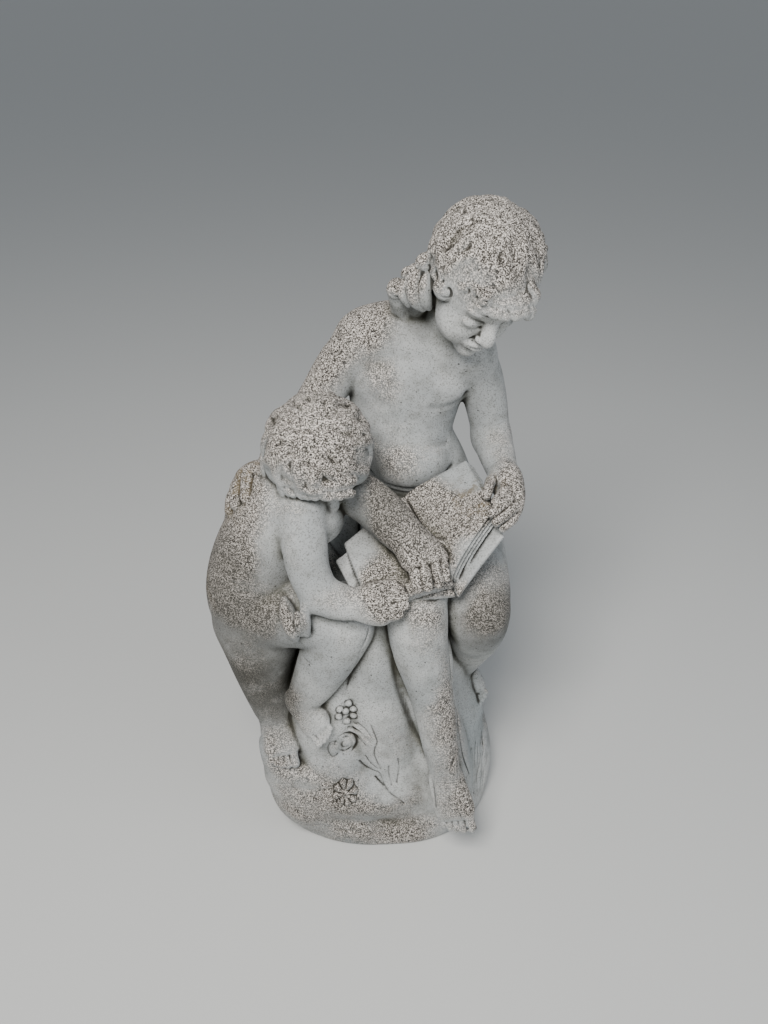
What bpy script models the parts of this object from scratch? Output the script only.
"""A concrete garden statue, cast in one piece: a child sits on a rock with an open book, and a
smaller child stands at the rock and leans over the pages.

Places on the two figures and the rock are given in 620ths of the statue's height, from the middle
of the base's underside: x to the figures' left, y to the back, z up.
"""
import bpy
import bmesh
import math
import numpy as np
from mathutils import Matrix, Vector

STATUE_HEIGHT = 0.620
BASE_WIDTH = 0.242
BASE_DEPTH = 0.214
UNIT = STATUE_HEIGHT / 620

BODY_GRAIN = 3.6 * UNIT
BODY_SOFTENING = 5
CARVING_GRAIN = 2.4 * UNIT
TRIANGLES = 9700

LIMB_SIDES = 16
SMALL_BALL = 12
CAP_ANGLES = (28, 56, 78)

CONCRETE = (0.52, 0.52, 0.48, 1.0)


def start_empty():
    for item in list(bpy.data.objects):
        bpy.data.objects.remove(item)


def unit(v):
    v = np.array(v, float)
    return v / np.linalg.norm(v)


def axes_of(forward, up):
    """A figure's own left, forward and up, square to each other."""
    f = unit(forward)
    u = np.array(up, float)
    u = unit(u - f * (u @ f))
    return np.array([np.cross(u, f), f, u])


def smooth_path(points, count):
    """count rows along a smooth curve through the given rows."""
    p = np.array(points, float)
    if len(p) == 2:
        t = np.linspace(0, 1, count)[:, None]
        return p[0] * (1 - t) + p[1] * t
    p = np.vstack([2 * p[0] - p[1], p, 2 * p[-1] - p[-2]])
    spans = len(p) - 3
    t = np.linspace(0, spans, count)
    i = np.minimum(t.astype(int), spans - 1)
    f = (t - i)[:, None]
    a, b, c, d = p[i], p[i + 1], p[i + 2], p[i + 3]
    square = 2 * a - 5 * b + 4 * c - d
    cube = 3 * b - a - 3 * c + d
    return 0.5 * (2 * b + (c - a) * f + square * f ** 2 + cube * f ** 3)


def ball(form, centre, radii, axes=None):
    """An egg shape, with its three radii along the given axes."""
    r = radii if hasattr(radii, "__len__") else (radii, radii, radii)
    m = np.eye(3) if axes is None else np.array(axes, float)
    turn = Matrix([[m[j][i] * r[j] * UNIT for j in range(3)] for i in range(3)]).to_4x4()
    place = Matrix.Translation(Vector(centre) * UNIT) @ turn
    rounds = 2 if max(r) < SMALL_BALL else 3
    made = bmesh.ops.create_icosphere(form, subdivisions=rounds, radius=1, matrix=place)
    if turn.determinant() < 0:
        faces = {face for vert in made["verts"] for face in vert.link_faces}
        bmesh.ops.reverse_faces(form, faces=list(faces))


def limb(form, points, radii, steps=4, thin_along=None, thinness=1.0):
    """A round arm, leg, finger or lock of hair along a smooth curve, with round ends.

    thin_along makes it flatter along that direction, to thinness of its full width.
    """
    rr = np.atleast_1d(np.array(radii, float))
    if len(rr) == 1:
        rr = np.repeat(rr, len(points))
    rows = smooth_path(np.column_stack([np.array(points, float), rr]), steps * (len(points) - 1) + 1)
    first, last = unit(rows[1, :3] - rows[0, :3]), unit(rows[-1, :3] - rows[-2, :3])
    caps = [(math.sin(math.radians(a)), math.cos(math.radians(a))) for a in CAP_ANGLES]
    start = [[*(rows[0, :3] - first * rows[0, 3] * s), rows[0, 3] * c] for s, c in caps[::-1]]
    finish = [[*(rows[-1, :3] + last * rows[-1, 3] * s), rows[-1, 3] * c] for s, c in caps]
    ways = np.gradient(rows[:, :3], axis=0)
    ways = np.vstack([[first] * len(caps), ways, [last] * len(caps)])
    rows = np.vstack([start, rows, finish])
    side = unit(np.cross(first, (0.31, 0.52, 0.79)))
    sides = LIMB_SIDES if max(rr) > SMALL_BALL else LIMB_SIDES - 4
    rings = []
    for (x, y, z, size), way in zip(rows, ways):
        way = unit(way)
        side = unit(side - way * (side @ way))
        other = np.cross(way, side)
        ring = []
        for k in range(sides):
            turn = 2 * math.pi * k / sides
            out = size * (math.cos(turn) * side + math.sin(turn) * other)
            if thin_along is not None:
                axis = unit(thin_along)
                out = out - axis * (out @ axis) * (1 - thinness)
            ring.append(form.verts.new((Vector((x, y, z)) + Vector(out)) * UNIT))
        rings.append(ring)
    for low, high in zip(rings, rings[1:]):
        for k in range(sides):
            j = (k + 1) % sides
            form.faces.new((low[k], low[j], high[j], high[k]))
    form.faces.new(rings[0][::-1])
    form.faces.new(rings[-1])


def hull(form, points):
    """The smallest bulging block that holds the points."""
    verts = [form.verts.new(Vector(p) * UNIT) for p in points]
    made = bmesh.ops.convex_hull(form, input=verts, use_existing_faces=False)
    spare = [item for item in made["geom_interior"] if isinstance(item, bmesh.types.BMVert)]
    bmesh.ops.delete(form, geom=spare, context="VERTS")


def rock_body(form):
    """The rock: rounded outlines stacked up from the flat underside to the seat, hollowed at the front."""
    wide, deep = BASE_WIDTH / UNIT / 2, BASE_DEPTH / UNIT / 2
    levels = [
        (0, 0, 0, wide - 2, deep - 1), (22, 0, 0, wide, deep), (60, 2, 2, wide - 8, deep - 8),
        (105, 4, 5, wide - 16, deep - 17), (150, 8, 10, wide - 34, deep - 26),
        (200, 16, 16, 76, 78), (250, 26, 24, 68, 74), (298, 34, 32, 62, 64),
    ]
    rows = smooth_path(levels, 40)
    sides = 56
    power = 2.3
    hollow_at, hollow_width, hollow_depth = 14, 20, 16
    rings = []
    for row, (z, x, y, half_width, half_depth) in enumerate(rows):
        rough = min(1.0, z / 40)
        ring = []
        for k in range(sides):
            turn = 2 * math.pi * k / sides
            c, s = math.cos(turn), math.sin(turn)
            reach = (abs(c) ** power + abs(s) ** power) ** (-1 / power)
            reach *= 1 + rough * (0.018 * math.sin(3 * turn + z / 21) + 0.014 * math.sin(5 * turn - z / 13))
            px, py = x + half_width * reach * c, y + half_depth * reach * s
            if s < 0:
                py += rough * hollow_depth * math.exp(-((px - hollow_at) / hollow_width) ** 2)
            ring.append(form.verts.new(Vector((px, py, z)) * UNIT))
        rings.append(ring)
    for low, high in zip(rings, rings[1:]):
        for k in range(sides):
            j = (k + 1) % sides
            form.faces.new((low[k], low[j], high[j], high[k]))
    form.faces.new(rings[0][::-1])
    form.faces.new(rings[-1])
    ball(form, (-70, -54, 56), (46, 56, 54))
    ball(form, (80, -6, 56), (34, 54, 50))
    ball(form, (-42, -70, 108), (42, 40, 50))
    ball(form, (-60, -16, 160), (48, 58, 106))
    ball(form, (-66, -44, 130), (40, 40, 60))
    limb(form, [(38, -72, 290), (46, -76, 205), (58, -78, 120), (66, -74, 60)], [24, 26, 28, 30])
    limb(form, [(-28, -52, 262), (-40, -64, 200), (-52, -70, 140)], [26, 26, 28])


def seated_child(form):
    back = (0, 1, 0)
    limb(form, [(34, 34, 476), (34, 34, 452), (34, 31, 424), (35, 24, 392), (40, 34, 350), (43, 42, 328)],
         [40, 43, 38, 40, 47, 52], 5, back, 0.74)
    limb(form, [(52, 32, 490), (57, 26, 512), (70, 10, 540)], [26, 20, 18])
    limb(form, [(44, 32, 494), (16, 31, 494), (-12, 30, 489)], [22, 21, 20])
    limb(form, [(54, 32, 494), (70, 28, 492), (85, 22, 488)], [22, 21, 20])
    ball(form, (14, 20, 470), (19, 16, 15))
    ball(form, (54, 18, 470), (19, 16, 15))
    ball(form, (36, 8, 386), (28, 18, 22))
    limb(form, [(16, 38, 322), (26, -30, 322), (33, -96, 314)], [38, 34, 27])
    limb(form, [(70, 38, 322), (80, -20, 308), (89, -76, 290)], [38, 34, 28])
    limb(form, [(33, -96, 312), (42, -97, 255), (47, -101, 205), (58, -106, 150), (68, -110, 104)],
         [27, 24.5, 22, 18.5, 15.5])
    limb(form, [(89, -76, 288), (90, -40, 235), (87, 0, 170), (85, 35, 116)], [27, 24, 21, 16])


def standing_child(form):
    ball(form, (-66, -62, 388), (40, 32, 30), axes_of((0, -1, 0), (0.5, 0, 0.8)))
    limb(form, [(-72, -60, 386), (-92, -54, 358), (-104, -54, 320), (-108, -56, 285)], [31, 34, 35, 37])
    ball(form, (-113, -48, 258), (39, 37, 37))
    limb(form, [(-108, -58, 262), (-106, -62, 215), (-97, -66, 168), (-96, -68, 142)], [37, 27, 18, 16])
    limb(form, [(-98, -62, 285), (-66, -76, 292), (-30, -90, 282)], [35, 31, 26])
    limb(form, [(-30, -90, 282), (-50, -92, 240), (-66, -90, 200)], [26, 23, 17])
    limb(form, [(-66, -66, 398), (-52, -64, 420)], [21, 18])


def arms(form):
    """The big child's arm round the other's back, and the three arms that meet at the book."""
    limb(form, [(-14, 30, 488), (-40, 22, 456), (-68, 10, 424)], [21, 20, 17])
    limb(form, [(-68, 10, 424), (-92, -12, 402), (-106, -34, 386)], [17, 15, 12])
    limb(form, [(86, 22, 488), (97, 30, 446), (104, 30, 404)], [20, 19.5, 18])
    limb(form, [(104, 30, 404), (104, 0, 398), (103, -30, 394)], [18, 16, 13])
    limb(form, [(-64, -86, 392), (-60, -97, 360), (-46, -106, 325)], [19.5, 19.5, 18.5])
    limb(form, [(-46, -106, 325), (-22, -110, 316), (4, -110, 320)], [18.5, 17, 14])
    limb(form, [(-24, -50, 396), (-8, -58, 392), (16, -68, 371), (32, -78, 354)], [19, 18.5, 17, 14])


def hand(form, wrist, knuckles, tips, thumb, size):
    """A hand laid flat: the palm from wrist to knuckles, four fingers on to the tips, and a thumb."""
    w, a, b = (np.array(p, float) for p in (wrist, *knuckles))
    c, d = (np.array(p, float) for p in tips)
    middle = (a + b) / 2
    limb(form, [w, (w + middle) / 2, middle], [2.3 * size, 2.4 * size, 2.0 * size])
    fingers = 4
    for k in range(fingers):
        share = k / (fingers - 1)
        base = a + (b - a) * share
        tip = c + (d - c) * share
        bend = (base + tip) / 2 + np.array((0, 0, 0.35 * size))
        limb(form, [(w + base) / 2, base, bend, tip], [size, 1.15 * size, 1.05 * size, 0.9 * size], 3)
    limb(form, [w, (w + thumb[0]) / 2, *thumb], [size, 1.3 * size, 1.2 * size, 0.95 * size][:2 + len(thumb)], 3)


def hands(form):
    hand(form, (-98, -24, 392), [(-104, -52, 396), (-120, -42, 374)],
         [(-112, -66, 384), (-124, -58, 362)], [(-98, -48, 402)], 5)
    hand(form, (103, -30, 394), [(88, -52, 398), (110, -48, 392)],
         [(86, -70, 388), (106, -74, 376)], [(90, -36, 404), (80, -48, 403)], 4.6)
    hand(form, (30, -76, 356), [(26, -92, 352), (44, -84, 356)],
         [(34, -104, 336), (54, -94, 340)], [(22, -88, 354)], 4.2)
    hand(form, (4, -110, 320), [(22, -114, 330), (14, -122, 316)],
         [(34, -112, 328), (28, -118, 318)], [(16, -104, 334)], 4.2)


def foot(form, ankle, toes, inward, heel, size):
    """A bare foot from the ankle to the middle of the toes, with the big toe on the inward side."""
    a, t = np.array(ankle, float), np.array(toes, float)
    way = unit(t - a)
    inward = unit(np.array(inward, float) - way * (np.array(inward, float) @ way))
    ball(form, a, 3.1 * size)
    ball(form, heel, 3.1 * size)
    count = 5
    for k in range(count):
        share = k / (count - 1)
        across = inward * size * (2.9 - 6.0 * share)
        thick = size * (1.15 - 0.4 * share)
        root = a + (t - a) * 0.6 + across * 0.9
        tip = t + across - way * size * (1.6 * share ** 2 + 0.6)
        limb(form, [a + across * 0.3, (a + root) / 2, root], [2.4 * size, 1.9 * size, 1.45 * size], 3)
        limb(form, [root, tip], [1.3 * thick, thick], 3)


def feet(form):
    foot(form, (67, -108, 102), (76, -121, 54), (1, -0.1, 0), (64, -96, 92), 5)
    foot(form, (86, 32, 112), (108, -14, 98), (-1, -0.3, 0), (84, 42, 102), 5)
    foot(form, (-96, -68, 150), (-87, -95, 114), (1, 0.1, 0), (-98, -62, 138), 4.6)
    foot(form, (-68, -90, 192), (-44, -111, 162), (0.6, 0.5, 0.6), (-78, -84, 186), 4.4)


def pages(form, corners, thick):
    """Half of the open book: a slab under four corners, with a page line round it."""
    p = [np.array(c, float) for c in corners]
    down = -unit(np.cross(p[2] - p[0], p[3] - p[1]))
    if down[2] > 0:
        down = -down
    hull(form, [q for c in p for q in (c, c + down * thick)])


def book(form):
    spine_top, spine_foot = (23, -30, 379), (66, -100, 329)
    pages(form, [spine_top, spine_foot, (101, -84, 380), (75, -15, 405)], 14)
    pages(form, [spine_foot, spine_top, (-30, -62, 350), (14, -118, 322)], 11)


def head(form, centre, forward, up, size):
    """A plain child's head in shares of its own height, chin to crown, and what places the hair."""
    m = axes_of(forward, up)
    c = np.array(centre, float)

    def at(side, front, high):
        return c + (m[0] * side + m[1] * front + m[2] * high) * size

    def egg(side, front, high, *radii):
        ball(form, at(side, front, high), [r * size for r in radii], m)

    egg(0, -0.02, 0.12, 0.36, 0.43, 0.38)
    egg(0, 0.12, -0.17, 0.28, 0.27, 0.30)
    egg(0, 0.24, -0.30, 0.15, 0.14, 0.14)
    egg(0, 0.30, -0.40, 0.10, 0.09, 0.08)
    egg(0, 0.32, 0.06, 0.22, 0.08, 0.05)
    egg(0, 0.37, -0.27, 0.08, 0.05, 0.05)
    for side in (-1, 1):
        egg(side * 0.16, 0.22, -0.20, 0.13, 0.14, 0.14)
        egg(side * 0.15, 0.325, -0.05, 0.07, 0.05, 0.04)
    limb(form, [at(0, 0.36, 0.0), at(0, 0.42, -0.12), at(0, 0.44, -0.17)],
         [0.035 * size, 0.045 * size, 0.055 * size])
    return m, at


def hair(form, m, at, size, swell, rows, wave):
    """A cap of hair, and locks that run down it from the crown in waves to a curled fringe."""
    cap = np.array((0.415, 0.47, 0.42)) * swell
    middle = (0, -0.04, 0.13)
    ball(form, at(*middle), cap * size, m)

    def on_head(around, height, lift):
        flat = math.cos(height)
        return at(middle[0] + math.sin(around) * flat * (cap[0] + lift),
                  middle[1] + math.cos(around) * flat * (cap[1] + lift),
                  middle[2] + math.sin(height) * (cap[2] + lift))

    for k in range(rows):
        around = 2 * math.pi * (k + 0.5) / rows
        frontal = max(0.0, math.cos(around))
        low = math.radians(-38 + 44 * frontal)
        high = math.radians(66)
        points = []
        for step in range(6):
            share = step / 5
            height = high + (low - high) * share
            swing = wave * math.sin(step * 2.1 + k * 1.7)
            points.append(on_head(around + swing * share, height, 0.012))
        limb(form, points, [0.03 * size, 0.045 * size, 0.05 * size, 0.05 * size, 0.05 * size, 0.035 * size], 3)
    return on_head


def heads(form):
    m, at = head(form, (82, -6, 560), (0.30, -0.82, -0.49), (0.10, -0.50, 0.85), 101)
    on_head = hair(form, m, at, 101, 0.95, 16, 0.16)
    fringe = ((-0.95, -0.02), (-0.62, 0.12), (-0.3, 0.2), (0.0, 0.2), (0.3, 0.16), (0.62, 0.1), (0.95, -0.04))
    for around, height in fringe:
        ball(form, on_head(around, height, 0.0), (8.5, 8, 7), m)
    ball(form, (54, -24, 560), (8.5, 7, 8.5))
    ball(form, (117, -38, 549), (7, 6, 6))
    limb(form, [(52, -14, 572), (40, -6, 554), (35, 0, 538), (33, 6, 524)], [9, 9, 9, 6])
    limb(form, [(48, -2, 574), (32, 2, 556), (24, 8, 538), (22, 14, 516)], [9, 9, 9, 6])
    limb(form, [(48, 12, 574), (28, 10, 560), (16, 12, 544), (14, 18, 526)], [10, 9, 9, 7])
    limb(form, [(54, 26, 566), (40, 34, 544), (34, 40, 518)], [13, 11, 7])
    limb(form, [(68, 36, 560), (62, 46, 538), (56, 48, 512)], [13, 12, 7])
    limb(form, [(90, 36, 560), (86, 46, 538), (78, 48, 514)], [13, 12, 7])
    limb(form, [(108, 22, 556), (106, 30, 536), (98, 36, 516)], [12, 11, 7])
    m, at = head(form, (-49, -62, 436), (0.32, -0.80, -0.52), (-0.05, -0.52, 0.85), 92)
    on_head = hair(form, m, at, 92, 0.94, 14, 0.14)
    for around, height in fringe:
        ball(form, on_head(around, height - 0.05, 0.0), (7, 6.5, 6), m)


def drapery(form):
    """Folds of cloth at the hips, hanging down the seat at the back, and bunched at the small child's waist."""
    for k, drop in enumerate((0, 9, 18)):
        limb(form, [(-4, 12, 358 - drop), (36, 2 - k, 352 - drop), (78, 12, 358 - drop), (90, 42, 352 - drop),
                    (42, 72 + k, 348 - drop), (-6, 42, 352 - drop), (-4, 12, 358 - drop)], 7, 5)
    folds = 7
    for k in range(folds):
        x = -10 + 102 * k / (folds - 1)
        bow = 24 * math.sin(math.pi * k / (folds - 1))
        limb(form, [(x + 4, 48 + bow, 336), (x - 3, 62 + bow, 296), (x + 3, 72 + bow, 252), (x - 2, 70 + bow, 212)],
             [9, 11, 11, 7])
    limb(form, [(-66, -94, 298), (-58, -100, 286), (-60, -104, 272)], [10, 9, 6])
    limb(form, [(-72, -88, 300), (-74, -96, 284), (-70, -100, 268)], [9, 8, 5])
    limb(form, [(-134, -76, 284), (-104, -92, 294), (-70, -92, 300)], [5, 7, 7])
    limb(form, [(-142, -46, 282), (-132, -24, 280), (-104, -18, 284), (-80, -28, 290)], [6, 8, 8, 7])


def flower(form, centre, petals, reach, petal, heart):
    """Petals round a heart, laid on the front of the rock."""
    m = axes_of((-0.15, -0.9, 0.4), (0, 0.4, 0.9))
    c = np.array(centre, float)
    for k in range(petals):
        turn = 2 * math.pi * k / petals
        way = m[0] * math.cos(turn) + m[2] * math.sin(turn)
        across = np.cross(way, m[1])
        ball(form, c + way * reach, (petal * 1.5, 3.0, petal), (way, m[1], across))
    ball(form, c, (heart, 4.0, heart), m)


def carving_on_rock(form):
    flower(form, (-38, -98, 72), 9, 9, 3.6, 5)
    flower(form, (-36, -106, 118), 5, 8, 5, 6)
    for bend in (-1, 0, 1):
        limb(form, [(4, -88, 64), (-4 + 6 * bend, -82, 90), (-8 + 12 * bend, -78, 114)], [4, 4.5, 3], 3)
    limb(form, [(-30, -100, 138), (-16, -88, 130), (-6, -80, 112)], [5, 6, 4], 3)
    limb(form, [(-112, -62, 100), (-94, -98, 104), (-70, -104, 108)], [8, 8, 6])
    limb(form, [(102, -44, 94), (106, -12, 90), (100, 30, 94)], [9, 10, 9])


def object_from(form, name):
    mesh = bpy.data.meshes.new(name)
    form.to_mesh(mesh)
    form.free()
    made = bpy.data.objects.new(name, mesh)
    bpy.context.scene.collection.objects.link(made)
    return made


def fused(maker, name):
    """One body's forms run together and softened, as clay is worked, then handed back as a mesh."""
    form = bmesh.new()
    maker(form)
    made = object_from(form, name)
    knit = made.modifiers.new("knit", "REMESH")
    knit.mode = "VOXEL"
    knit.voxel_size = BODY_GRAIN
    soften = made.modifiers.new("soften", "SMOOTH")
    soften.factor = 0.5
    soften.iterations = BODY_SOFTENING
    mesh = bpy.data.meshes.new_from_object(made.evaluated_get(bpy.context.evaluated_depsgraph_get()))
    bpy.data.objects.remove(made)
    return mesh


def concrete():
    material = bpy.data.materials.new("cast_concrete")
    material.use_nodes = True
    shader = material.node_tree.nodes["Principled BSDF"]
    shader.inputs["Base Color"].default_value = CONCRETE
    shader.inputs["Roughness"].default_value = 0.9
    return material


def statue():
    form = bmesh.new()
    for maker in (rock_body, seated_child, standing_child):
        form.from_mesh(fused(maker, maker.__name__))
    for maker in (arms, hands, feet, book, heads, drapery, carving_on_rock):
        maker(form)
    made = object_from(form, "statue_of_two_children_reading")
    knit = made.modifiers.new("knit", "REMESH")
    knit.mode = "VOXEL"
    knit.voxel_size = CARVING_GRAIN
    soften = made.modifiers.new("soften", "SMOOTH")
    soften.factor = 0.5
    soften.iterations = 1
    worked = made.evaluated_get(bpy.context.evaluated_depsgraph_get())
    count = sum(len(face.vertices) - 2 for face in worked.data.polygons)
    thin = made.modifiers.new("thin", "DECIMATE")
    thin.ratio = TRIANGLES / count
    thin.use_collapse_triangulate = True
    made.data.materials.append(concrete())
    return made


start_empty()
statue()
